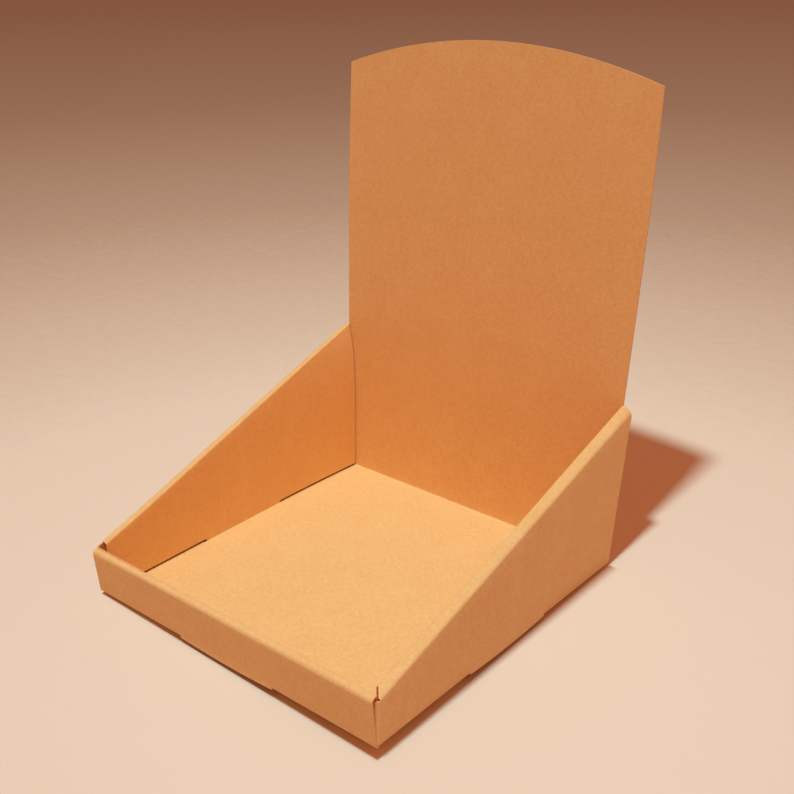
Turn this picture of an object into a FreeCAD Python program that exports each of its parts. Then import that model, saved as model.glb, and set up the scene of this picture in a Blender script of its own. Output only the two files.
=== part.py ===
import FreeCAD, Part
import Sketcher
import math
import os

# Counter display stand, die-cut and creased from one sheet of thin card and folded up.
# The frame has +X to the right, +Y to the back and +Z up. The origin is the middle of the
# outline, on the surface that the stand is put on. All sizes are in millimetres.

drivingSizes = [
    ("card", 0.5, "thickness of the sheet"),
    ("foldInside", 0.4, "inside radius of every crease"),
    ("trayWidth", 120.0, "outside, left to right"),
    ("trayDepth", 125.5, "outside, front to back"),
    ("frontHeight", 17.5, "front wall's top crease over the underside of the base"),
    ("sideFront", 15.4, "side wall's top crease at the front over the underside"),
    ("sideRear", 57.4, "side wall's top crease at the back over the underside"),
    ("stripWidth", 3.4, "over both leaves of a double wall"),
    ("sideRise", 1.2, "inner crease of a side strip stands higher by this"),
    ("frontRise", 0.5, "inner crease of the front strip stands higher by this"),
    ("backHeight", 151.0, "back panel's corners over the underside"),
    ("archRise", 8.7, "middle of the back panel's curved top over its corners"),
    ("backPlay", 0.7, "each side, between the back panel's foot and the side wall's outer leaf"),
    ("backTaper", 2.3, "each side, back panel narrower at its corners than at its foot"),
    ("lipDepth", 0.8, "deepest point of a lip under the base"),
    ("lipEnd", 0.15, "depth of a lip at its ends"),
    ("sideTab", 40.0, "length of a side slot and its lip"),
    ("frontTab", 40.0, "length of the front slot and its lip"),
    ("frontTabShift", 1.0, "front slot's middle, right of the tray's middle"),
    ("tabPlay", 0.8, "each end, between a tab and its slot"),
    ("tabTaper", 2.0, "a tab's end slants in by this"),
    ("tabShort", 0.3, "a tab ends above the lips' deepest point by this"),
    ("slotPlay", 0.25, "between a tab's face and the slot's edge"),
    ("panelGap", 0.9, "an inner panel's lower edge over the base"),
    ("cornerGap", 0.7, "a side strip starts behind the front wall by this"),
    ("rearGap", 0.3, "a side strip ends ahead of the back panel by this"),
    ("endInset", 0.8, "front wall's ends, in from the side walls' faces"),
    ("frontFlap", 24.0, "flap inside the front wall, from the side wall's face"),
    ("rearFlap", 27.0, "flap glued behind the back panel, from the side wall's face"),
    ("flapPlay", 0.2, "between the front wall's outer leaf and the flap"),
    ("flapLift", 0.3, "a flap's lower edge over the base"),
    ("flapSlant", 5.0, "a rear flap's free end is lower by this at its top"),
    ("lap", 0.2, "a crease's straight run into the panel beside it"),
]

doc = FreeCAD.newDocument("display_stand")
sheet = doc.addObject("Spreadsheet::Sheet", "sizes")
for row, (alias, number, meaning) in enumerate(drivingSizes, start=1):
    sheet.set("A%d" % row, meaning)
    sheet.set("B%d" % row, str(number))
    sheet.setAlias("B%d" % row, alias)
doc.recompute()

# Lengths and levels that several pieces share, as expressions on the sheet.
card = "sizes.card"
foldOut = "(sizes.foldInside + sizes.card)"
strip = "sizes.stripWidth"
halfWidth = "sizes.trayWidth / 2"
halfDepth = "sizes.trayDepth / 2"
backFoot = "(sizes.trayWidth / 2 - sizes.card - sizes.backPlay)"
backTop = "(%s - sizes.backTaper)" % backFoot
backRear = "(sizes.trayDepth / 2 - sizes.card)"
sideSlope = "((sizes.sideRear - sizes.sideFront) / (sizes.trayDepth - 2 * sizes.card))"
creaseRun = "(sizes.foldInside + sizes.card + sizes.lap)"
underside = "sizes.lipDepth"
baseTop = "(%s + %s)" % (underside, card)
wallFoot = "(%s + %s)" % (underside, foldOut)
leafFoot = "(%s + %s)" % (underside, creaseRun)
panelFoot = "(%s + sizes.panelGap)" % baseTop
flapFoot = "(%s + sizes.flapLift)" % baseTop

# Sketch planes: XY from above, XZ from the front, YZ from the right.
fromAbove = FreeCAD.Rotation(0, 0, 0)
fromFront = FreeCAD.Rotation(FreeCAD.Vector(1, 0, 0), 90)
fromRight = FreeCAD.Rotation(FreeCAD.Vector(1, 1, 1), 120)


def bindPlace(feature, x="0", y="0", z="0"):
    for axis, expression in zip("xyz", (x, y, z)):
        feature.setExpression("Placement.Base." + axis, expression)


def newSketch(name, plane, place):
    sketch = doc.addObject("Sketcher::SketchObject", name)
    sketch.Placement = FreeCAD.Placement(FreeCAD.Vector(0, 0, 0), plane)
    bindPlace(sketch, **place)
    return sketch


def spotOf(sketch, pair):
    across, up = (float(sketch.evalExpression(expression)) for expression in pair)
    return FreeCAD.Vector(across, up, 0)


def constrain(sketch, kind, *parts):
    return sketch.addConstraint(Sketcher.Constraint(kind, *parts))


def pin(sketch, geometry, end, pair):
    # Holds one point by its two distances from the sketch's origin.
    spot = spotOf(sketch, pair)
    for kind, number, expression in (("DistanceX", spot.x, pair[0]), ("DistanceY", spot.y, pair[1])):
        index = constrain(sketch, kind, -1, 1, geometry, end, number)
        sketch.setExpression("Constraints[%d]" % index, expression)


def pinnedMark(sketch, pair, *sides):
    # Construction point that the named sides run through.
    mark = sketch.addGeometry(Part.Point(spotOf(sketch, pair)), True)
    pin(sketch, mark, 1, pair)
    for side in sides:
        constrain(sketch, "PointOnObject", mark, 1, side)


def endsOf(sketch, side, start):
    # Numbers of a side's first and last point, because an arc may be stored backwards.
    curve = sketch.Geometry[side]
    forward = (curve.StartPoint - start).Length < (curve.EndPoint - start).Length
    return (1, 2) if forward else (2, 1)


def outline(name, plane, corners, **place):
    # Closed outline. Where a corner has a third entry, an arc through that point joins it
    # to the next corner.
    sketch = newSketch(name, plane, place)
    spots = [spotOf(sketch, corner[:2]) for corner in corners]
    sides, ends = [], []
    for corner, start, stop in zip(corners, spots, spots[1:] + spots[:1]):
        curve = Part.LineSegment(start, stop)
        if len(corner) == 3:
            curve = Part.Arc(start, spotOf(sketch, corner[2]), stop)
        sides.append(sketch.addGeometry(curve))
        ends.append(endsOf(sketch, sides[-1], start))
    for index, corner in enumerate(corners):
        following = (index + 1) % len(sides)
        constrain(sketch, "Coincident", sides[index], ends[index][1], sides[following], ends[following][0])
        pin(sketch, sides[index], ends[index][0], corner[:2])
        if len(corner) == 3:
            pinnedMark(sketch, corner[2], sides[index])
    return sketch


def creasedStrip(name, plane, corners, **place):
    # Section of a folded strip. The corners are those of its outer face, and each fold
    # there is rounded to the crease's outside radius. The card lies inside this line.
    sketch = newSketch(name + "_line", plane, place)
    spots = [spotOf(sketch, corner) for corner in corners]
    radius = float(sketch.evalExpression(foldOut))
    runs, bends, start = [], [], spots[0]
    for before, spot, after in zip(spots, spots[1:], spots[2:]):
        back, ahead = (before - spot).normalize(), (after - spot).normalize()
        middle = (back + ahead).normalize()
        half = back.getAngle(ahead) / 2
        leave, meet = spot + back * (radius / math.tan(half)), spot + ahead * (radius / math.tan(half))
        apex = spot + middle * (radius / math.sin(half) - radius)
        runs.append(sketch.addGeometry(Part.LineSegment(start, leave)))
        bends.append((sketch.addGeometry(Part.Arc(leave, apex, meet)), leave))
        start = meet
    runs.append(sketch.addGeometry(Part.LineSegment(start, spots[-1])))
    for index, (bend, leave) in enumerate(bends):
        first, last = endsOf(sketch, bend, leave)
        constrain(sketch, "Tangent", runs[index], 2, bend, first)
        constrain(sketch, "Tangent", bend, last, runs[index + 1], 1)
        sketch.setExpression("Constraints[%d]" % constrain(sketch, "Radius", bend, radius), foldOut)
        pinnedMark(sketch, corners[index + 1], runs[index], runs[index + 1])
    pin(sketch, runs[0], 1, corners[0])
    pin(sketch, runs[-1], 2, corners[-1])
    section = doc.addObject("Part::Offset2D", name)
    section.Source = sketch
    section.Mode = "Skin"
    section.Fill = True
    section.setExpression("Value", card)
    doc.recompute()
    if section.Shape.Area > sketch.Shape.Length * section.Value:
        section.setExpression("Value", "-" + card)
    return section


def prism(name, profile, x="0", y="0", z="0"):
    solid = doc.addObject("Part::Extrusion", name)
    solid.Base = profile
    solid.DirMode = "Custom"
    solid.Solid = True
    for axis, expression in zip("xyz", (x, y, z)):
        solid.setExpression("Dir." + axis, expression)
    return solid


def block(name, length, width, height, **place):
    solid = doc.addObject("Part::Box", name)
    for side, expression in zip(("Length", "Width", "Height"), (length, width, height)):
        solid.setExpression(side, expression)
    bindPlace(solid, **place)
    return solid


def fuse(name, *solids):
    joined = doc.addObject("Part::MultiFuse", name)
    joined.Shapes = list(solids)
    joined.Refine = False
    return joined


def cut(name, base, tool):
    remainder = doc.addObject("Part::Cut", name)
    remainder.Base = base
    remainder.Tool = tool
    return remainder


def doubleWall(name, wall):
    # A wall that is rolled over and comes down again inside, with a tab at its foot. It is
    # made as a right-hand wall: its face is at +X, and it runs along Y.
    crown = "(%(crown)s)" % wall
    face = "(%(face)s)" % wall
    slope = "%(slope)s" % wall
    innerFace = "(%s - %s)" % (face, strip)
    stripRun = "(%(stripEnd)s - %(stripStart)s)" % wall

    def crownAt(spot, drop):
        return "%s + %s * %s - %s" % (crown, slope, spot, drop)

    leg = "(%s + %s)" % (foldOut, creaseRun)
    rollOver = creasedStrip(name + "_roll", fromFront, [
        ("0", "-" + leg),
        ("0", "0"),
        ("-" + strip, wall["rise"]),
        ("-" + strip, "-" + leg)],
        x=face, y=wall["stripStart"], z=crownAt("(%(stripStart)s)" % wall, "0"))
    crease = prism(name + "_rolled", rollOver, y=stripRun, z="%s * %s" % (stripRun, slope))

    slotStart = "(%(slotMiddle)s - %(slotLength)s / 2)" % wall
    slotEnd = "(%(slotMiddle)s + %(slotLength)s / 2)" % wall
    lipLevel = "(sizes.lipDepth - sizes.lipEnd)"
    outer = outline(name + "_outer", fromRight, [
        (wall["outerStart"], leafFoot),
        (slotStart, leafFoot),
        (slotStart, lipLevel, (wall["slotMiddle"], "0")),
        (slotEnd, lipLevel),
        (slotEnd, leafFoot),
        (wall["outerEnd"], leafFoot),
        (wall["outerEnd"], crownAt("(%(outerEnd)s)" % wall, foldOut)),
        (wall["outerStart"], crownAt("(%(outerStart)s)" % wall, foldOut))],
        x="%s - %s" % (face, card))

    tabStart = "(%s + sizes.tabPlay)" % slotStart
    tabEnd = "(%s - sizes.tabPlay)" % slotEnd
    innerDrop = "(2 * %s - %s)" % (foldOut, wall["rise"])
    inner = outline(name + "_inner", fromRight, [
        (wall["panelStart"], panelFoot),
        (tabStart, panelFoot),
        ("%s + sizes.tabTaper" % tabStart, "sizes.tabShort"),
        ("%s - sizes.tabTaper" % tabEnd, "sizes.tabShort"),
        (tabEnd, panelFoot),
        (wall["panelEnd"], panelFoot),
        (wall["panelEnd"], crownAt("(%(panelEnd)s)" % wall, innerDrop)),
        (wall["panelStart"], crownAt("(%(panelStart)s)" % wall, innerDrop))],
        x=innerFace)
    return [crease, prism(name + "_outer_leaf", outer, x=card), prism(name + "_inner_leaf", inner, x=card)]


def baseCrease(name, face, start, end):
    # Crease between the base and a right-hand wall, running along Y.
    corners = [("-" + creaseRun, "0"), ("0", "0"), ("0", creaseRun)]
    section = creasedStrip(name + "_section", fromFront, corners, x=face, y=start, z=underside)
    return prism(name, section, y="%s - (%s)" % (end, start))


def slotCutter(name, face, middle, length):
    # Opens the base, and the crease beside it, for a tab. It reaches past both.
    inner, outer = "%s - %s - sizes.slotPlay" % (face, strip), "%s + %s" % (face, card)
    near, far = "%s - %s / 2" % (middle, length), "%s + %s / 2" % (middle, length)
    corners = [(inner, near), (outer, near), (outer, far), (inner, far)]
    opening = outline(name + "_outline", fromAbove, corners)
    return prism(name, opening, z="%s + %s" % (leafFoot, card))


def turnedToFront(solid):
    quarterTurn = FreeCAD.Rotation(FreeCAD.Vector(0, 0, 1), -90)
    solid.Placement = FreeCAD.Placement(FreeCAD.Vector(0, 0, 0), quarterTurn)
    return solid


def cornerFlap(name, face, foot, top, length, fallAway, forward):
    # Flap folded in from the end of the right-hand wall. Its bend and its leaf are level
    # with the given face, which looks to the front or to the back.
    if forward:
        corners = [("-" + creaseRun, "0"), ("0", "0"), ("0", creaseRun)]
        leafStart = face
    else:
        corners = [("0", "-" + creaseRun), ("0", "0"), ("-" + creaseRun, "0")]
        leafStart = "%s - %s" % (face, card)
    section = creasedStrip(name + "_section", fromAbove, corners, x=halfWidth, y=face, z=foot)
    bend = prism(name + "_bend", section, z="%s - %s" % (top, foot))
    leaf = outline(name + "_outline", fromFront, [
        ("%s - %s" % (halfWidth, foldOut), foot),
        ("%s - %s" % (halfWidth, foldOut), top),
        ("%s - %s" % (halfWidth, length), "%s - %s" % (top, fallAway)),
        ("%s - %s" % (halfWidth, length), foot)],
        y=leafStart)
    return [bend, prism(name + "_leaf", leaf, y=card)]


# Base, with the creases along its four edges and the slots for the tabs.
baseFront = "(%s - %s)" % (creaseRun, halfDepth)
baseRear = "(%s - %s)" % (backRear, creaseRun)
baseRight = "(%s - %s)" % (halfWidth, creaseRun)
base = block("base_panel", "2 * " + baseRight, "%s - %s" % (baseRear, baseFront), card,
             x="-" + baseRight, y=baseFront, z=underside)
rightCrease = baseCrease("right_crease", halfWidth, baseFront, baseRear)
frontCrease = turnedToFront(baseCrease("front_crease", halfDepth, "-" + baseRight, baseRight))
rightSlot = slotCutter("right_slot", halfWidth, "0", "sizes.sideTab")
frontSlot = turnedToFront(slotCutter("front_slot", halfDepth, "sizes.frontTabShift", "sizes.frontTab"))


def mirrored(name, solid):
    twin = doc.addObject("Part::Mirroring", name)
    twin.Source = solid
    twin.Normal = FreeCAD.Vector(1, 0, 0)
    return twin


trayFloor = cut("tray_floor",
                fuse("creased_base", base, rightCrease, mirrored("left_crease", rightCrease), frontCrease),
                fuse("slots", rightSlot, mirrored("left_slot", rightSlot), frontSlot))

# Side walls: the right one, and its mirror image.
flapFace = "(sizes.card + sizes.flapPlay - %s)" % halfDepth
sideLow = "(%s + sizes.sideFront)" % underside
sideCrown = "(%s + %s * %s)" % (sideLow, sideSlope, halfDepth)
sideStart = "(%s + sizes.cornerGap - %s)" % (strip, halfDepth)
sideEnd = "(%s - %s - sizes.rearGap)" % (backRear, card)
rightLeaves = doubleWall("right_wall", {
    "face": halfWidth,
    "crown": sideCrown,
    "slope": sideSlope,
    "rise": "sizes.sideRise",
    "stripStart": sideStart,
    "stripEnd": sideEnd,
    "outerStart": "(%s + %s)" % (flapFace, foldOut),
    "outerEnd": "(%s - %s)" % (halfDepth, foldOut),
    "panelStart": sideStart,
    "panelEnd": sideEnd,
    "slotMiddle": "0",
    "slotLength": "sizes.sideTab"})
frontFlapTop = "(%s - %s)" % (sideLow, foldOut)
rearFlapTop = "(%s + sizes.sideRear - 2 * %s)" % (underside, foldOut)
frontFlap = cornerFlap("front_flap", flapFace, flapFoot, frontFlapTop,
                       "sizes.frontFlap", "0", True)
rearFlap = cornerFlap("rear_flap", halfDepth, wallFoot, rearFlapTop,
                      "sizes.rearFlap", "sizes.flapSlant", False)
rightWall = fuse("right_wall", *(rightLeaves + frontFlap + rearFlap))
leftWall = mirrored("left_wall", rightWall)

# Front wall, made as a right-hand wall and turned to the front.
frontEnd = "(%s - sizes.endInset)" % halfWidth
frontPanelEnd = "(%s - %s - %s)" % (halfWidth, card, foldOut)
frontWall = turnedToFront(fuse("front_wall", *doubleWall("front", {
    "face": halfDepth,
    "crown": "(%s + sizes.frontHeight)" % underside,
    "slope": "0",
    "rise": "sizes.frontRise",
    "stripStart": "(-%s)" % frontEnd,
    "stripEnd": frontEnd,
    "outerStart": "(-%s)" % frontEnd,
    "outerEnd": frontEnd,
    "panelStart": "(-%s)" % frontPanelEnd,
    "panelEnd": frontPanelEnd,
    "slotMiddle": "sizes.frontTabShift",
    "slotLength": "sizes.frontTab"})))

# Back panel, creased up from the base behind the side strips. It narrows a little towards
# its curved top.
backSection = creasedStrip("back_crease_section", fromRight,
                           [("-" + creaseRun, "0"), ("0", "0"), ("0", creaseRun)],
                           x="-" + backFoot, y=backRear, z=underside)
backCrease = prism("back_crease", backSection, x="2 * " + backFoot)
shoulder = "(%s + sizes.backHeight)" % underside
backOutline = outline("back_outline", fromFront, [
    ("-" + backFoot, leafFoot),
    (backFoot, leafFoot),
    (backTop, shoulder, ("0", "%s + sizes.archRise" % shoulder)),
    ("-" + backTop, shoulder)],
    y="%s - %s" % (backRear, card))
backPanel = prism("back_panel", backOutline, y=card)

stand = fuse("folded_card", trayFloor, rightWall, leftWall, frontWall, backCrease, backPanel)
doc.recompute()

for item in doc.Objects:
    faults = [state for state in item.State if state in ("Invalid", "Error")]
    if faults:
        raise RuntimeError("%s is %s" % (item.Name, faults))
for item in doc.Objects:
    if hasattr(item, "Shape") and not item.isDerivedFrom("Sketcher::SketchObject"):
        if item.Shape.isNull() or not item.Shape.isValid():
            raise RuntimeError("%s has no sound shape" % item.Name)
if len(stand.Shape.Solids) != 1:
    raise RuntimeError("the folded card is in %d separate solids" % len(stand.Shape.Solids))

os.makedirs("parts", exist_ok=True)
stand.Label = "folded_card"
stand.Shape.exportStep("parts/%s.step" % stand.Label)
box = stand.Shape.BoundBox
print("%s: %.1f x %.1f x %.1f mm, %.0f cubic mm, centre of mass %s" % (
    stand.Label, box.XLength, box.YLength, box.ZLength, stand.Shape.Volume,
    tuple(round(c, 2) for c in stand.Shape.Solids[0].CenterOfMass)))
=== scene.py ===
import math

import bmesh
import bpy
import numpy as np
from mathutils import Matrix, Vector


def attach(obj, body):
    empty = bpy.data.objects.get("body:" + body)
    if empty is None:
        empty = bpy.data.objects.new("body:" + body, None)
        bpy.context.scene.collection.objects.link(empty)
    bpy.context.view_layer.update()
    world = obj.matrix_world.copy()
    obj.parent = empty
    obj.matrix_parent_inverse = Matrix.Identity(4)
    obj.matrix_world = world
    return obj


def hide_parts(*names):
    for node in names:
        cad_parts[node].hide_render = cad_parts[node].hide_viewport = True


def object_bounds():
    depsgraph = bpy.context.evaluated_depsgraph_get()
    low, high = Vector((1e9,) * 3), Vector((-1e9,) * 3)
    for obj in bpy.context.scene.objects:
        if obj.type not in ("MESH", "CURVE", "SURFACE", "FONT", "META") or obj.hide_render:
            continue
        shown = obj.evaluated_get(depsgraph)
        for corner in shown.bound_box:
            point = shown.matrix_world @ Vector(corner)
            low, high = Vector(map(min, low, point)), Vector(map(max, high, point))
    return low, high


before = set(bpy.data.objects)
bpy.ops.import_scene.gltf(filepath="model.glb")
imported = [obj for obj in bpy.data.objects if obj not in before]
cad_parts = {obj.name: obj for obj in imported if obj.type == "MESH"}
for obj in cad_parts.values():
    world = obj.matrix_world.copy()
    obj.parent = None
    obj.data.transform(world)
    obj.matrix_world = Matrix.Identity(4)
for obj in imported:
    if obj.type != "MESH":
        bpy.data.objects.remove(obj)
cadLow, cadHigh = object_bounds()
print("frame loaded")

# Sizes are written in millimetres and turned to metres where a mesh is made.
mm = 0.001
scene = bpy.context.scene
# Half the stand's width and depth, from the frame.
halfWidth, halfDepth = (round(side / mm, 2) for side in list(cadHigh)[:2])


class Wire:
    # One output in a node tree. Sums on wires add Math nodes.
    def __init__(self, desk, socket):
        self.desk = desk
        self.socket = socket

    def maths(self, operation, *values):
        return self.desk.node("ShaderNodeMath", {"operation": operation}, dict(enumerate(values)))

    def __add__(self, other):
        return self.maths("ADD", self, other)

    def __sub__(self, other):
        return self.maths("SUBTRACT", self, other)

    def __mul__(self, other):
        return self.maths("MULTIPLY", self, other)

    def __truediv__(self, other):
        return self.maths("DIVIDE", self, other)

    def __rsub__(self, other):
        return self.maths("SUBTRACT", other, self)

    def __pow__(self, other):
        return self.maths("POWER", self, other)

    __radd__ = __add__
    __rmul__ = __mul__

    def clamped(self):
        # Kept between 0 and 1.
        return self.desk.node("ShaderNodeClamp", {}, {0: self})

    def sine(self):
        return self.maths("SINE", self)

    def cosine(self):
        return self.maths("COSINE", self)

    def absolute(self):
        return self.maths("ABSOLUTE", self)


class Desk:
    # Adds nodes to one tree: a node's type, its settings, then the values or links of its sockets.
    def __init__(self, tree):
        self.tree = tree

    def node(self, kind, settings, sockets, out=0):
        made = self.tree.nodes.new(kind)
        for name, value in settings.items():
            if name == "stops":
                for extra in value[2:]:
                    made.color_ramp.elements.new(extra[0])
                for element, (spot, colour) in zip(made.color_ramp.elements, value):
                    element.position, element.color = spot, colour
            else:
                setattr(made, name, value)
        for key, value in sockets.items():
            if isinstance(value, Wire):
                self.tree.links.new(value.socket, made.inputs[key])
            else:
                made.inputs[key].default_value = value
        return Wire(self, made.outputs[out]) if len(made.outputs) else None

    def output(self, wire, out):
        # Another output of the node that a wire comes from.
        return Wire(self, wire.socket.node.outputs[out])


def paint(red, green, blue):
    # A colour read off a screen, 0 to 255, as the linear colour that a shader takes.
    def linear(level):
        level /= 255
        return level / 12.92 if level <= 0.04045 else ((level + 0.055) / 1.055) ** 2.4
    return (linear(red), linear(green), linear(blue), 1)


# Where the camera stands and what it takes in. Angles are in degrees, the lens in mm.
view = {
    "place": (183.3, -211.55, 186.9),
    "azimuth": 42.02,
    "elevation": 30.83,
    "roll": -0.81,
    "lens": 44.75,
    "sensor": 36.0,
    "shift": (0.0683, 0.1661),
}


def addCamera():
    azimuth, elevation, roll = (math.radians(view[key]) for key in ("azimuth", "elevation", "roll"))
    back = Vector((math.sin(azimuth) * math.cos(elevation),
                   -math.cos(azimuth) * math.cos(elevation), math.sin(elevation)))
    right = Vector((0, 0, 1)).cross(back).normalized()
    up = back.cross(right)
    turned = Matrix((right * math.cos(roll) + up * math.sin(roll),
                     up * math.cos(roll) - right * math.sin(roll), back)).transposed()
    data = bpy.data.cameras.new("camera")
    data.lens = view["lens"]
    data.sensor_width = view["sensor"]
    data.shift_x, data.shift_y = view["shift"]
    data.clip_start = 0.01
    camera = bpy.data.objects.new("camera", data)
    camera.matrix_world = Matrix.Translation(Vector(view["place"]) * mm) @ turned.to_4x4()
    scene.collection.objects.link(camera)
    scene.camera = camera


addCamera()

# How the card looks: its colours, and the mottling by fibres, flocks and clouds. Sizes are in mm.
cardLook = {
    "colour": paint(247, 195, 122),
    "pale": paint(252, 204, 132),
    "deep": paint(241, 185, 113),
    "crease": paint(252, 208, 142),
    "edge": paint(248, 186, 128),
    "edgeDeep": paint(228, 150, 96),
    "roughness": 0.84,
    "edgeRoughness": 0.9,
    "gloss": 0.25,
    "edgeGloss": 0.2,
    "fibreSize": 0.45,
    "flockSize": 1.6,
    "cloudSize": 11.0,
    "fibreTone": 2.2,        # how strongly each of them shows
    "flockTone": 0.8,
    "cloudTone": 0.4,
    "grain": 0.35,           # strength of the fine bump
    "grainDepth": 0.03,
    "streakSize": 0.35,      # of the layers in a cut edge
}


def newMaterial(name):
    material = bpy.data.materials.new(name)
    material.use_nodes = True
    material.node_tree.nodes.clear()
    return material, Desk(material.node_tree)


def finishMaterial(desk, sockets):
    shader = desk.node("ShaderNodeBsdfPrincipled", {}, sockets)
    desk.node("ShaderNodeOutputMaterial", {}, {"Surface": shader})


def speckle(desk, place, size, detail, distortion=0.0):
    # Noise around 0 whose patches are about the given size in mm.
    noise = desk.node("ShaderNodeTexNoise", {}, {
        "Vector": place, "Scale": 1 / (size * mm), "Detail": detail, "Roughness": 0.6,
        "Distortion": distortion})
    return noise - 0.5


def buffCard():
    material, desk = newMaterial("buffCard")
    place = desk.node("ShaderNodeTexCoord", {}, {}, out="Object")
    fibre = speckle(desk, place, cardLook["fibreSize"], 3.0, 0.8)
    flock = speckle(desk, place, cardLook["flockSize"], 2.0)
    cloud = speckle(desk, place, cardLook["cloudSize"], 2.0)
    crease = desk.node("ShaderNodeAttribute", {"attribute_name": "crease"}, {}, out="Fac")
    mottling = fibre * cardLook["fibreTone"] + flock * cardLook["flockTone"] + cloud * cardLook["cloudTone"]
    sheet = desk.node("ShaderNodeValToRGB", {"stops": [
        (0.15, cardLook["deep"]), (0.5, cardLook["colour"]), (0.85, cardLook["pale"])]},
        {"Fac": (mottling + 0.5).clamped()})
    worn = desk.node("ShaderNodeMix", {"data_type": "RGBA"}, {
        0: (crease * (0.3 + 0.8 * flock)).clamped(), 6: sheet, 7: cardLook["crease"]}, out=2)
    bump = desk.node("ShaderNodeBump", {}, {
        "Strength": cardLook["grain"], "Distance": cardLook["grainDepth"] * mm,
        "Height": fibre * 0.6 + flock * 0.4})
    finishMaterial(desk, {
        "Base Color": worn, "Roughness": cardLook["roughness"], "Normal": bump,
        "Specular IOR Level": cardLook["gloss"]})
    return material


def cutCard():
    # The cut edge shows the sheet's layers as fine streaks.
    material, desk = newMaterial("cutCard")
    place = desk.node("ShaderNodeTexCoord", {}, {}, out="Object")
    streak = speckle(desk, place, cardLook["streakSize"], 2.0)
    colour = desk.node("ShaderNodeValToRGB", {"stops": [
        (0.3, cardLook["edgeDeep"]), (0.6, cardLook["edge"])]}, {"Fac": streak + 0.5})
    bump = desk.node("ShaderNodeBump", {}, {"Strength": 0.4, "Distance": 0.04 * mm, "Height": streak})
    finishMaterial(desk, {
        "Base Color": colour, "Roughness": cardLook["edgeRoughness"], "Normal": bump,
        "Specular IOR Level": cardLook["edgeGloss"]})
    return material


cardFace, cardEdge = buffCard(), cutCard()
print("materials made")

# The stand is one sheet, drawn along its middle surface. Sizes are in mm from the tray's
# middle and from the floor.
card = {
    "thickness": 0.5,
    "baseBend": 0.75,        # middle radius of the creases round the base
    "tabFoot": 0.3,          # a tab's lower edge, above the floor
    "tabTaper": 2.0,         # how much each side of a tab narrows to its foot
    "tabPlay": 0.8,          # gap between a tab and each end of its slot
    "lipDepth": 0.8,         # how far a lip hangs below the base, in its middle
    "lipEnd": 0.15,          # and at its ends
    "slotInner": 3.45,       # a slot's inner edge, from the wall's outer face
    "sideSlot": (-20.0, 20.0),
    "frontSlot": (-19.0, 21.0),
    "frontFlap": 24.0,       # lengths of the corner flaps
    "rearFlap": 27.0,
    "flapPlay": 0.05,        # gap between a front flap and the front wall
    "flapSlant": 5.0,        # how much a rear flap's top falls to its end
    "slantReach": 40.0,      # the slant cut of a wall's ends fades out here
    "rearInset": 0.2,        # a strip's inner edge ends this far ahead of its outer edge
    "frontTop": 0.6,         # each end of the front wall, in at its top
    "frontStrip": 0.7,       # in at the strip's inner edge
    "frontInner": 1.4,       # and in on the inside
    "backHalf": 57.8,        # half the back panel's width at its foot
    "backCentre": -0.75,     # how far the panel stands off the middle above the tray
    "backShift": 50.0,       # the height over which it gets there
    "backTaper": 1.7,        # how much each side narrows to the shoulder
    "shoulder": 151.8,       # height of the panel's corners
    "archRise": 8.7,         # and of its middle above them
    "step": 3.0,             # spacing of the mesh along a wall
    "leastStep": 0.8,        # a line nearer than this to a slot's or crease's end is dropped
    "backRows": 40,          # rows of mesh up the back panel
    "tabRows": 4,            # and down a tab or a lip
    "flapRows": 6,           # and along a corner flap
    "merge": 0.004,          # points nearer than this are one
    "equal": 1e-6,           # places nearer than this count as the same
    "sharpAngle": 40.0,      # degrees
}
# Where the middle of the sheet lies in each panel.
card["face"] = halfWidth - card["thickness"] / 2         # side walls
card["front"] = halfDepth - card["thickness"] / 2        # front wall, and the flaps behind the back panel
card["rear"] = card["front"] - card["thickness"]         # back panel
card["base"] = card["lipDepth"] + card["thickness"] / 2
card["frontFlapPlane"] = card["front"] - card["thickness"] - card["flapPlay"]
# How the real sheet sits: its front right corner stands higher, and the back panel leans back.
stance = {
    "cornerLift": 3.0,
    "backLean": 0.92,        # at leanHeight above leanFoot
    "leanFoot": 2.0,
    "leanHeight": 151.0,
    "leanFrom": (61.0, 61.5),    # along the depth, from no lean to all of it
}
# What the fold of each double wall takes. Start is the wall's front or left end, and heights
# are those of the sheet's middle. Crown is the strip's outer edge and Rise how much higher its
# inner edge lies, Width is the strip's, the bends are its creases' radii, the panel is the inner
# leaf, Lean is the outer leaf's at the top, and Rear Bow is how far the inner leaf bellies inward.
rightWall = {
    "Face": card["face"], "Start": -61.6, "End": 61.6, "Foot": 1.8,
    "Crown Start": 16.5, "Crown End": 57.8, "Arch": 0.0, "Rise Start": 0.8, "Rise End": 1.6, "Bulge": 0.1,
    "Width Start": 2.9, "Width End": 2.9, "Front Run": 25.0,
    "Bend Start": 0.5, "Outer Bend": 0.5, "Rear Round": 0.7, "Inner Bend": 0.4,
    "Panel Foot": 2.2, "Foot Inset": 2.9, "Lean Start": 0.0, "Lean End": 0.34, "Rear Bow": 0.3,
}
leftWall = dict(rightWall, **{
    "Crown Start": 18.1, "Crown End": 59.6, "Arch": 0.4, "Rise Start": 0.1, "Rise End": 0.8,
    "Width Start": 2.2, "Bend Start": 0.3, "Outer Bend": 1.3, "Rear Round": 0.0,
    "Lean End": 1.47, "Rear Bow": 2.5})
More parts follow.
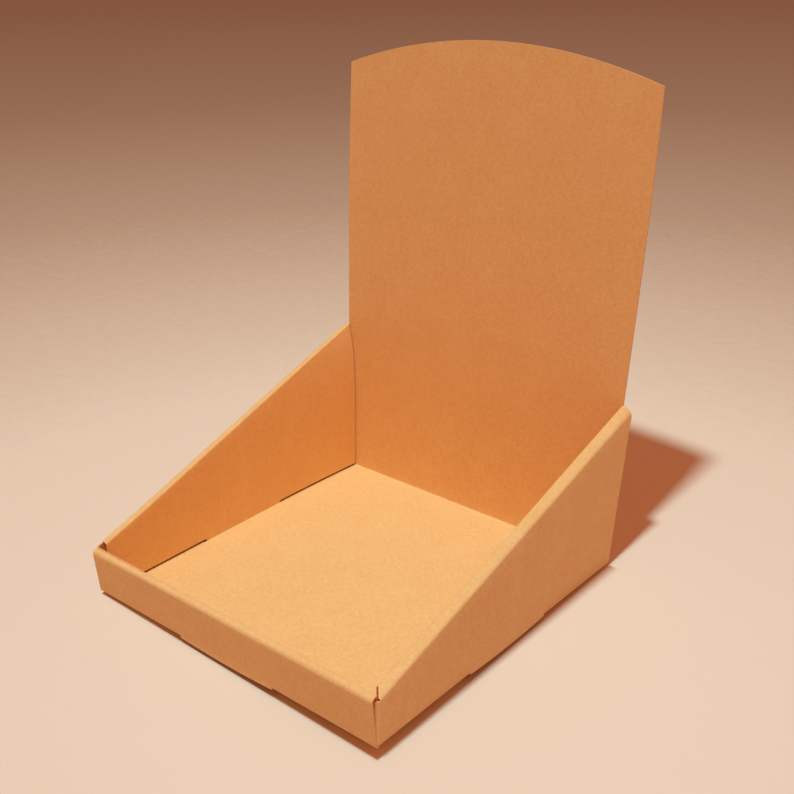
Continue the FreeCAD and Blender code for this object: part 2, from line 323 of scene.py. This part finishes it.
frontWall = {
    "Face": card["front"], "Start": -halfWidth, "End": halfWidth, "Foot": 1.8,
    "Crown Start": 17.2, "Crown End": 17.5, "Arch": 0.0, "Rise Start": 0.0, "Rise End": 0.5, "Bulge": 0.3,
    "Width Start": 2.0, "Width End": 2.3, "Front Run": 20.0,
    "Bend Start": 1.5, "Outer Bend": 0.8, "Rear Round": 0.0, "Inner Bend": 0.3,
    "Panel Foot": 2.2, "Foot Inset": 2.9, "Lean Start": 1.2, "Lean End": 1.3, "Rear Bow": 0.0,
}
# How each side wall's front end is cut: where it lies at some parts of the fold, and where
# the strip begins. A strip that begins at the corner has no step there.
frontCuts = {
    "right": {0: -61.6, 1: -60.9, 2: -61.1, 3: -58.8},
    "left": {0: -61.6, 1: -60.75, 3: -60.75},
}
stripFront = {"right": None, "left": (-58.85, -59.65)}
# Rows of mesh from a wall's foot over its top and down inside: how many in each part of the fold.
foldRows = {"outer": 8, "outerBend": 6, "strip": 4, "innerBend": 5, "inner": 12}


def wallTree():
    # Folds a flat sheet, drawn with its length along X and the parts of the fold along Y at
    # 0 to 5, into a right-hand double wall: up the outside, over the top and down inside.
    tree = bpy.data.node_groups.new("foldWall", "GeometryNodeTree")
    tree.interface.new_socket("Geometry", in_out="OUTPUT", socket_type="NodeSocketGeometry")
    tree.interface.new_socket("Geometry", in_out="INPUT", socket_type="NodeSocketGeometry")
    for name in rightWall:
        tree.interface.new_socket(name, in_out="INPUT", socket_type="NodeSocketFloat")
    tree.interface.new_socket("Material", in_out="INPUT", socket_type="NodeSocketMaterial")
    desk = Desk(tree)
    group = desk.node("NodeGroupInput", {}, {})
    size = {name: desk.output(group, name) for name in rightWall}
    flat = desk.node("ShaderNodeSeparateXYZ", {}, {0: desk.node("GeometryNodeInputPosition", {}, {})})
    along, part = flat, desk.output(flat, 1)

    stretch = ((along - size["Start"]) / (size["End"] - size["Start"])).clamped()
    climb, roll, across, turn, fall = ((part - level).clamped() for level in range(5))
    quarter = math.pi / 2
    outerSine, outerCosine = (roll * quarter).sine(), (roll * quarter).cosine()
    innerSine, innerCosine = (turn * quarter).sine(), (turn * quarter).cosine()

    def between(first, last):
        return size[first] + (size[last] - size[first]) * stretch

    crown = between("Crown Start", "Crown End") + size["Arch"] * 4 * stretch * (1 - stretch)
    rise = between("Rise Start", "Rise End")
    # Whole at the wall's front or left end, and gone after the front run.
    near = (1 - ((along - size["Start"]) / size["Front Run"]).clamped()) ** 2
    width = size["Width End"] + (size["Width Start"] - size["Width End"]) * near
    inner = size["Inner Bend"]
    outer = (size["Outer Bend"] + (size["Bend Start"] - size["Outer Bend"]) * near
             + size["Rear Round"] * stretch ** 24)
    # Over the strip: how far in a point lies, in mm and as a share of the strip.
    inset = outer * (1 - outerCosine) + (width - outer - inner) * across + inner * innerSine
    passed = inset / width
    drop = (crown - inner + rise - size["Panel Foot"]) * fall
    height = (size["Foot"] + (crown - outer - size["Foot"]) * climb + outer * outerSine
              - inner * (1 - innerCosine) - drop + rise * passed
              + size["Bulge"] * 4 * passed * (1 - passed))
    tilt = ((height - size["Foot"]) / (size["Crown End"] - size["Foot"])).clamped()
    lean = between("Lean Start", "Lean End") * tilt
    # The inner leaf bellies inward just below its crease, and less towards its foot.
    belly = (1 - (1 - fall) ** 6) * (1 - 0.4 * fall ** 2)
    bow = size["Rear Bow"] * belly * stretch ** 5
    inward = inset + (size["Foot Inset"] - width) * fall + bow
    place = desk.node("ShaderNodeCombineXYZ", {}, {0: size["Face"] - inward + lean, 1: along, 2: height})
    folded = desk.node("GeometryNodeSetPosition", {}, {
        "Geometry": desk.output(group, "Geometry"), "Position": place})
    bent = (1 - (roll * 2 - 1).absolute()) + (1 - (turn * 2 - 1).absolute())
    marked = desk.node("GeometryNodeStoreNamedAttribute", {"data_type": "FLOAT", "domain": "POINT"}, {
        "Geometry": folded, "Name": "crease", "Value": bent.clamped()})
    whole = desk.node("GeometryNodeRealizeInstances", {}, {"Geometry": marked})
    finished = desk.node("GeometryNodeSetMaterial", {}, {
        "Geometry": whole, "Material": desk.output(group, "Material")})
    desk.node("NodeGroupOutput", {}, {"Geometry": finished})
    return tree


def stations(first, last, *marks):
    # Places along a wall where the mesh has a line: even ones, and the marks.
    count = max(2, round((last - first) / card["step"]) + 1)
    even = [line for line in np.linspace(first, last, count)
            if all(abs(line - mark) > card["leastStep"] for mark in marks)]
    return np.array(sorted(set(even + [first, last] + [mark for mark in marks if first < mark < last])))


def partLevels():
    levels = [0.0]
    for start, rows in enumerate(foldRows.values()):
        levels += [start + (row + 1) / rows for row in range(rows)]
    return np.array(levels)


def flatWall(lines, cuts):
    # A wall's sheet before it is folded. Its ends are cut aslant: at some parts of the fold,
    # cuts says which lines along the wall move, and where to.
    parts = sorted(cuts)
    moved = np.array([np.interp(lines, *zip(*cuts[part])) for part in parts])
    levels = partLevels()
    return np.array([np.interp(levels, parts, moved[:, i]) for i in range(len(lines))])


def foldWall(tree, name, sizes, places):
    # Runs the fold on a flat sheet and gives its points, one row for each line along the wall.
    levels = partLevels()
    rows, count = places.shape
    points = [(places[i, j], levels[j], 0) for i in range(rows) for j in range(count)]
    faces = [(i * count + j, (i + 1) * count + j, (i + 1) * count + j + 1, i * count + j + 1)
             for i in range(rows - 1) for j in range(count - 1)]
    mesh = bpy.data.meshes.new(name)
    mesh.from_pydata(points, [], faces)
    sheet = bpy.data.objects.new(name, mesh)
    scene.collection.objects.link(sheet)
    fold = sheet.modifiers.new("fold", "NODES")
    fold.node_group = tree
    for item in tree.interface.items_tree:
        if item.in_out == "INPUT" and item.name in sizes:
            fold[item.identifier] = float(sizes[item.name])
        elif item.in_out == "INPUT" and item.name == "Material":
            fold[item.identifier] = cardFace
    result = plainMesh(sheet)
    sheet.modifiers.clear()
    bpy.data.objects.remove(sheet)
    spots = np.array([vertex.co for vertex in result.vertices]).reshape(rows, count, 3)
    worn = np.array([entry.value for entry in result.attributes["crease"].data]).reshape(rows, count)
    bpy.data.meshes.remove(result)
    return spots, worn


def plainMesh(piece):
    return bpy.data.meshes.new_from_object(piece.evaluated_get(bpy.context.evaluated_depsgraph_get()))


class Sheet:
    # Gathers the patches of the folded sheet, whose shared lines are merged at the end.
    def __init__(self):
        self.points, self.worn, self.faces = [], [], []

    def patch(self, points, worn=0.0, keep=None):
        # points is a grid of places; keep(i, j) says whether a cell of it is card.
        points = np.asarray(points, float)
        rows, columns = points.shape[:2]
        start = len(self.points)
        self.points += [tuple(p) for p in points.reshape(-1, 3)]
        self.worn += list(np.broadcast_to(worn, (rows, columns)).reshape(-1))
        for i in range(rows - 1):
            for j in range(columns - 1):
                if keep is None or keep(i, j):
                    a = start + i * columns + j
                    self.faces.append((a, a + columns, a + columns + 1, a + 1))


def bend(edgeLine, outward, upward, radius, segments=6):
    # Quarter bend that starts at edgeLine heading outward and ends heading upward. The
    # radius may differ from point to point. Also gives how near each row is to the crease.
    rows = []
    radius = np.broadcast_to(radius, len(edgeLine))[:, None]
    for turn in np.linspace(0, math.pi / 2, segments + 1):
        ahead, above = math.sin(turn), 1 - math.cos(turn)
        rows.append(edgeLine + radius * (np.array(outward) * ahead + np.array(upward) * above))
    return np.array(rows), 1 - np.abs(np.linspace(-1, 1, segments + 1))[:, None]


def lipPatch(lines, slot, place):
    # The wall's own lip, which reaches below the base inside the slot. Its edge is curved.
    first, last = slot
    middle, half = (first + last) / 2, (last - first) / 2
    rows = []
    for line in lines:
        if first - card["equal"] <= line <= last + card["equal"]:
            span = card["lipDepth"] - card["lipEnd"]
            foot = span - span * (1 - ((line - middle) / half) ** 2)
            top = card["base"] + card["baseBend"]
            shares = np.linspace(0, 1, card["tabRows"])
            rows.append([place(line, top + (foot - top) * share) for share in shares])
    return rows


def tabPatch(lines, slot, spots, place):
    # The inner panel's tab, narrower towards its foot.
    first, last = slot[0] + card["tabPlay"], slot[1] - card["tabPlay"]
    middle, half = (first + last) / 2, (last - first) / 2
    rows = []
    for line, spot in zip(lines, spots):
        if first - card["equal"] <= line <= last + card["equal"]:
            column = []
            for share in np.linspace(0, 1, card["tabRows"]):
                narrowed = middle + (line - middle) * (1 - share * card["tabTaper"] / half)
                column.append(place(spot, narrowed, spot[2] + (card["tabFoot"] - spot[2]) * share))
            rows.append(column)
    return rows


def settle(points):
    # Lifts the corner and leans what stands at the rear.
    x, y, z = points.T
    lift = stance["cornerLift"] * (halfWidth + x) / (2 * halfWidth) * (halfDepth - y) / (2 * halfDepth)
    start, whole = stance["leanFrom"]
    rear = np.clip((y - start) / (whole - start), 0, 1)
    lean = stance["backLean"] * np.clip(z - stance["leanFoot"], 0, None) / stance["leanHeight"] * rear
    return np.stack([x, y + lean, z + lift], axis=1)


def cornerFlap(sheet, edgeLine, side, way, plane, length):
    # Folds a flap in from the end of a side wall's outer leaf.
    radius = np.abs(plane - edgeLine[:, 1])
    fold, marks = bend(edgeLine, (0, way, 0), (-side, 0, 0), radius)
    sheet.patch(fold, marks)
    reach = np.linspace(0, 1, card["flapRows"])[:, None]
    leaf = np.repeat(fold[-1][None], card["flapRows"], axis=0)
    leaf[:, :, 0] -= side * (length - radius) * reach
    if way > 0:
        tall = (fold[-1][:, 2] - fold[-1][0, 2]) / (fold[-1][-1, 2] - fold[-1][0, 2])
        leaf[:, :, 2] -= card["flapSlant"] * reach * tall
    sheet.patch(leaf)


def sideWall(sheet, tree, side, lines, joined):
    # joined are the lines along which the wall is creased up from the base.
    sizes, which = ((rightWall, "right"), (leftWall, "left"))[side < 0]
    first, last = lines[0], lines[-1]
    hold = card["slantReach"]
    cuts = {}
    for part, place in frontCuts[which].items():
        rearEnd = last - card["rearInset"] * (part > 1)
        cuts[part] = [(first, place), (-hold, -hold), (hold, hold), (last, rearEnd)]
    start = 0
    if stripFront[which]:
        outerStart, innerStart = stripFront[which]
        lines = np.array(sorted(set(lines) | {outerStart}))
        start = list(lines).index(outerStart)
        for part, place in ((0, outerStart), (1, outerStart), (3, innerStart)):
            cuts[part].insert(1, (outerStart, place))
    spots, worn = foldWall(tree, "sideWall", sizes, flatWall(lines, cuts))
    spots = spots * (side, 1, 1)
    levels = partLevels()
    sheet.patch(spots, worn, lambda i, j: levels[j] < 1 - card["equal"] or i >= start)
    edgeLine = np.array([(side * (card["face"] - card["baseBend"]), line, card["base"]) for line in joined])
    crease, marks = bend(edgeLine, (side, 0, 0), (0, 0, 1), card["baseBend"])
    low, high = card["sideSlot"]
    sheet.patch(crease, marks, lambda i, j: not low < (joined[j] + joined[j + 1]) / 2 < high)
    sheet.patch(lipPatch(lines, card["sideSlot"], lambda line, z: (side * card["face"], line, z)))
    sheet.patch(tabPatch(lines, card["sideSlot"], spots[:, -1], lambda spot, line, z: (spot[0], line, z)))
    outerLeaf = foldRows["outer"] + 1
    cornerFlap(sheet, spots[0, :outerLeaf], side, -1, -card["frontFlapPlane"], card["frontFlap"])
    cornerFlap(sheet, spots[-1, :outerLeaf], side, 1, card["front"], card["rearFlap"])


def frontDouble(sheet, tree, lines):
    # The front wall is a right-hand wall, turned to the front.
    last, hold = lines[-1], card["slantReach"]

    def drawnIn(by):
        return [(-last, by - last), (-hold, -hold), (hold, hold), (last, last - by)]

    spots, worn = foldWall(tree, "frontWall", frontWall, flatWall(lines, {
        0: drawnIn(0), 1: drawnIn(card["frontTop"]), 3: drawnIn(card["frontStrip"]),
        4: drawnIn(card["frontInner"])}))
    spots = np.stack([spots[..., 1], -spots[..., 0], spots[..., 2]], axis=-1)
    sheet.patch(spots, worn)
    edgeLine = np.array([(line, card["baseBend"] - card["front"], card["base"]) for line in lines])
    crease, marks = bend(edgeLine, (0, -1, 0), (0, 0, 1), card["baseBend"])
    low, high = card["frontSlot"]
    sheet.patch(crease, marks, lambda i, j: not low < (lines[j] + lines[j + 1]) / 2 < high)
    sheet.patch(lipPatch(lines, card["frontSlot"], lambda line, z: (line, -card["front"], z)))
    sheet.patch(tabPatch(lines, card["frontSlot"], spots[:, -1], lambda spot, line, z: (line, spot[1], z)))


def backPanel(sheet, joined):
    edgeLine = np.array([(line, card["rear"] - card["baseBend"], card["base"]) for line in joined])
    crease, marks = bend(edgeLine, (0, 1, 0), (0, 0, 1), card["baseBend"])
    sheet.patch(crease, marks)
    # The panel's top is an arc through its corners.
    half, foot = card["backHalf"], card["base"] + card["baseBend"]
    topHalf = half - card["backTaper"]
    radius = (topHalf ** 2 + card["archRise"] ** 2) / (2 * card["archRise"])
    columns = []
    for line in joined:
        fall = radius - math.sqrt(radius ** 2 - (line * topHalf / half) ** 2)
        top = card["shoulder"] + card["archRise"] - fall
        column = []
        for z in np.linspace(foot, top, card["backRows"]):
            narrowed = line * (1 - card["backTaper"] / half * (z / card["shoulder"]) ** 4)
            shift = card["backCentre"] * min(1, (z - foot) / card["backShift"])
            column.append((narrowed + shift, card["rear"], z))
        columns.append(column)
    sheet.patch(columns)


def foldCard():
    tree = wallTree()
    sheet = Sheet()
    baseFront, baseRear = card["baseBend"] - card["front"], card["rear"] - card["baseBend"]
    baseRight = card["face"] - card["baseBend"]
    low, high = card["sideSlot"]
    play = card["tabPlay"]
    sideLines = stations(rightWall["Start"], rightWall["End"], stripFront["left"][0], low, high, baseRear,
                         low + play, high - play)
    sideJoined = [line for line in sideLines if line <= baseRear + card["equal"]]
    left, right = card["frontSlot"]
    frontLines = stations(frontWall["Start"], frontWall["End"], left, right, left + play, right - play,
                          -baseRight, baseRight, -card["backHalf"], card["backHalf"])

    # The base, open at the slots.
    slotSide = card["face"] + card["thickness"] / 2 - card["slotInner"]
    slotFront = card["slotInner"] - card["front"] - card["thickness"] / 2
    inside = {x for x in frontLines if abs(x) <= baseRight + card["equal"]}
    across = np.array(sorted(inside | {-slotSide, slotSide}))
    deep = np.array(sorted({baseFront, slotFront} | set(sideJoined)))

    def baseKept(i, j):
        x, y = (across[i] + across[i + 1]) / 2, (deep[j] + deep[j + 1]) / 2
        return not (abs(x) > slotSide and low < y < high) and not (y < slotFront and left < x < right)

    sheet.patch([[(x, y, card["base"]) for y in deep] for x in across], keep=baseKept)
    for side in (1, -1):
        sideWall(sheet, tree, side, sideLines, sideJoined)
    frontDouble(sheet, tree, frontLines)
    backPanel(sheet, [line for line in across if abs(line) <= card["backHalf"] + card["equal"]])
    return thicken(sheet)


def thicken(sheet):
    # Joins the patches, gives the sheet its thickness and keeps its cut edges sharp.
    mesh = bpy.data.meshes.new("foldedSheet")
    mesh.from_pydata([tuple(p) for p in settle(np.array(sheet.points)) * mm], [], sheet.faces)
    crease = mesh.attributes.new("crease", "FLOAT", "POINT")
    crease.data.foreach_set("value", np.array(sheet.worn, np.float32))
    work = bmesh.new()
    work.from_mesh(mesh)
    bmesh.ops.remove_doubles(work, verts=work.verts, dist=card["merge"] * mm)
    bmesh.ops.delete(work, geom=[v for v in work.verts if not v.link_faces], context="VERTS")
    bmesh.ops.recalc_face_normals(work, faces=work.faces)
    islands = countIslands(work)
    work.to_mesh(mesh)
    work.free()
    mesh.materials.append(cardFace)
    mesh.materials.append(cardEdge)
    piece = bpy.data.objects.new("foldedCard", mesh)
    scene.collection.objects.link(piece)
    wall = piece.modifiers.new("thickness", "SOLIDIFY")
    wall.thickness = card["thickness"] * mm
    wall.offset = 0
    wall.use_even_offset = True
    wall.material_offset_rim = 1
    solid = plainMesh(piece)
    piece.modifiers.clear()
    piece.data = solid
    solid.name = "foldedCard"
    bpy.data.meshes.remove(mesh)
    solid.shade_smooth()
    solid.set_sharp_from_angle(angle=math.radians(card["sharpAngle"]))
    print("folded card made:", len(solid.polygons), "faces,", islands, "sheet(s)")
    return piece


def countIslands(work):
    # How many loose parts a mesh has: the stand is one sheet.
    seen, count = set(), 0
    for first in work.verts:
        if first in seen:
            continue
        count += 1
        queue = [first]
        seen.add(first)
        while queue:
            for edge in queue.pop().link_edges:
                for vertex in edge.verts:
                    if vertex not in seen:
                        seen.add(vertex)
                        queue.append(vertex)
    return count


foldedCard = foldCard()
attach(foldedCard, "root")
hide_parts("folded_card")

# The pale floor, whose colour darkens away from the stand as a painted falloff of light from a
# bright spot near it, and the lamps' light on both. The card, the front floor and the rear floor
# have a lamp each, because the photograph's light is near: its shadow is short beside the stand
# and long behind it. A lamp adds its colour to a level surface.
stage = {
    # The floor's tones, from the painted pool of light near the stand out to its darker far end.
    "paintedFalloffTones": [(0.16, paint(243, 220, 190)), (0.34, paint(236, 213, 182)), (0.48, paint(212, 184, 154)),
                   (0.60, paint(184, 150, 121)), (0.75, paint(154, 115, 86)), (0.90, paint(134, 90, 64))],
    "paintedFalloffReach": 400.0,     # mm, where the painted falloff of light is halfway down its tones
    "paintedLightMiddle": (40.0, -20.0, 0.0),       # mm, the brightest spot of the light painted on the floor
    "floorEcho": (0.66, 0.52, 0.44, 1),      # the floor's colour for the light it sends back
    "grainSize": 1.1,        # mm, of the floor's fine mottling
    "grainTone": 0.08,
    "blotchSize": 7.0,       # and of its wide mottling
    "blotchTone": 0.05,
    "floorEnd": 9000.0,      # mm, how far the floor goes
    "seam": 62.5,            # mm, where the rear floor begins
    "airLow": (0.50, 0.11, 0.04),            # the room's light from the side
    "airHigh": (0.44, 0.20, 0.12),           # and from above
    "beyond": paint(133, 87, 65),            # what is seen past the floor's end
    "lampColour": (0.47, 0.70, 0.82),
    "key": {"from": (0.10, -0.17, 1.0), "spread": 7.0},          # the card's lamp
    "frontKey": {"from": (-0.03, -0.08, 1.0), "spread": 5.0},
    "rearKey": {"from": (0.02, -0.67, 1.0), "spread": 4.0},
}


def floorPaint():
    material, desk = newMaterial("paleFloor")
    place = desk.node("ShaderNodeTexCoord", {}, {}, out="Object")
    middle = [along * mm for along in stage["paintedLightMiddle"]]
    away = desk.node("ShaderNodeVectorMath", {"operation": "DISTANCE"}, {0: place, 1: middle}, out=1)
    grain = speckle(desk, place, stage["grainSize"], 2.0)
    blotch = speckle(desk, place, stage["blotchSize"], 2.0)
    mottling = grain * stage["grainTone"] + blotch * stage["blotchTone"]
    # Painted light: the seen colour darkens with distance from the painted bright spot, down the painted
    # falloff tones.
    tone = away / (away + stage["paintedFalloffReach"] * mm) + mottling
    seen = desk.node("ShaderNodeLightPath", {}, {}, out="Is Camera Ray")
    tones = desk.node("ShaderNodeValToRGB", {"stops": stage["paintedFalloffTones"]}, {"Fac": tone})
    colour = desk.node("ShaderNodeMix", {"data_type": "RGBA"}, {
        0: seen, 6: stage["floorEcho"], 7: tones}, out=2)
    bump = desk.node("ShaderNodeBump", {}, {"Strength": 0.1, "Distance": 0.03 * mm, "Height": grain})
    finishMaterial(desk, {
        "Base Color": colour, "Roughness": 0.9, "Normal": bump, "Specular IOR Level": 0.1})
    return material


def addFloor(name, material, near, far):
    end, near, far = stage["floorEnd"] * mm, near * mm, far * mm
    mesh = bpy.data.meshes.new(name)
    mesh.from_pydata([(-end, near, 0), (end, near, 0), (end, far, 0), (-end, far, 0)], [], [(0, 1, 2, 3)])
    mesh.materials.append(material)
    floor = bpy.data.objects.new(name, mesh)
    scene.collection.objects.link(floor)
    return floor


def addLamp(name, *lit):
    # A far soft lamp that lights only what is named.
    toLamp = Vector(stage[name]["from"]).normalized()
    lamp = bpy.data.lights.new(name, "SUN")
    lamp.angle = math.radians(stage[name]["spread"])
    lamp.color = stage["lampColour"]
    lamp.energy = math.pi / toLamp.z
    hung = bpy.data.objects.new(name, lamp)
    hung.rotation_euler = toLamp.to_track_quat("Z", "Y").to_euler()
    scene.collection.objects.link(hung)
    group = bpy.data.collections.new(name + "Lit")
    for thing in lit:
        group.objects.link(thing)
    hung.light_linking.receiver_collection = group


def addWorld():
    world = bpy.data.worlds.new("room")
    world.use_nodes = True
    world.node_tree.nodes.clear()
    desk = Desk(world.node_tree)
    way = desk.node("ShaderNodeSeparateXYZ", {}, {0: desk.node("ShaderNodeTexCoord", {}, {})}, out=2)
    colour = desk.node("ShaderNodeMix", {"data_type": "RGBA"}, {
        0: way.clamped(), 6: (*stage["airLow"], 1), 7: (*stage["airHigh"], 1)}, out=2)
    air = desk.node("ShaderNodeBackground", {}, {"Color": colour})
    beyond = desk.node("ShaderNodeBackground", {}, {"Color": stage["beyond"]})
    seen = desk.node("ShaderNodeLightPath", {}, {}, out="Is Camera Ray")
    both = desk.node("ShaderNodeMixShader", {}, {0: seen, 1: air, 2: beyond})
    desk.node("ShaderNodeOutputWorld", {}, {"Surface": both})
    scene.world = world


paleFloor = floorPaint()
frontFloor = addFloor("frontFloor", paleFloor, -stage["floorEnd"], stage["seam"])
rearFloor = addFloor("rearFloor", paleFloor, stage["seam"], stage["floorEnd"])
addLamp("key", foldedCard)
addLamp("frontKey", frontFloor)
addLamp("rearKey", rearFloor)
addWorld()
scene.view_settings.view_transform = "Standard"
print("stage set")
